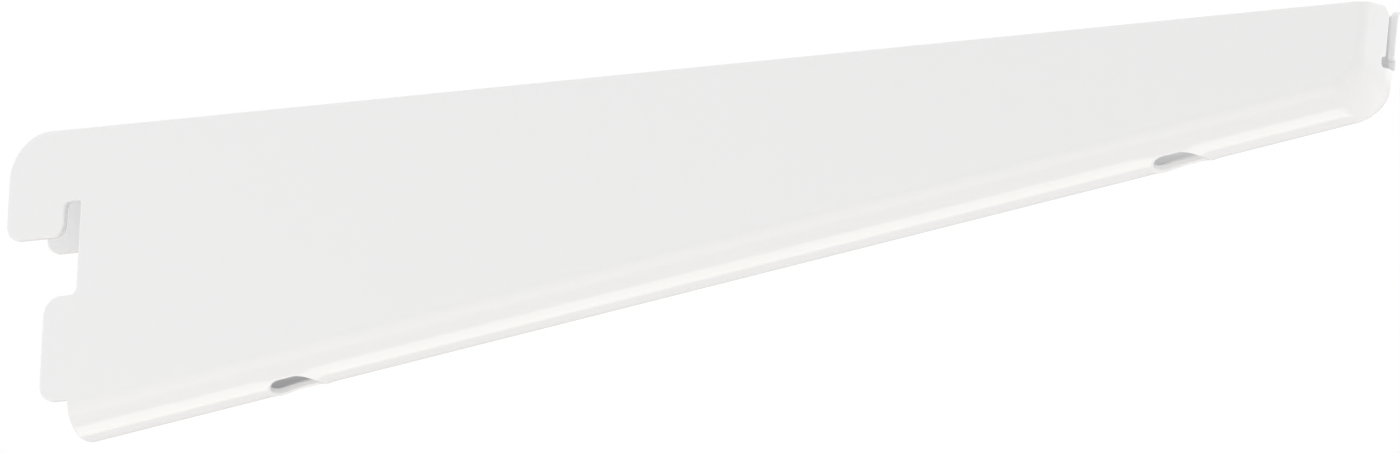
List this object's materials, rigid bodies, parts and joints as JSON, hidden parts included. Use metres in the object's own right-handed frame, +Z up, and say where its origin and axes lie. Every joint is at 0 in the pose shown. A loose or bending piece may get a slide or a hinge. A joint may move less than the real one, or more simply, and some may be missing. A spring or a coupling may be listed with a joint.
{
  "type": "slotted shelf bracket",
  "caption": "Tapered channel arm folded from sheet steel, with hooks and lugs for a twin-slot upright, a folded nose and long holes through its round bottom.",
  "frame": {"origin": "on the straight top edge, where it meets the rear edge that lies against the upright, midway between the two plates", "axes": "+X along the top edge from the upright to the nose, +Y across the bracket from one plate to the other, +Z up"},
  "size_m": [0.2502, 0.0116, 0.0481],
  "materials": {
    "white_powder_coat": "satin white powder coat on pressed steel sheet"
  },
  "bodies": {
    "root": {"bracket": "white_powder_coat"}
  },
  "joints": []
}
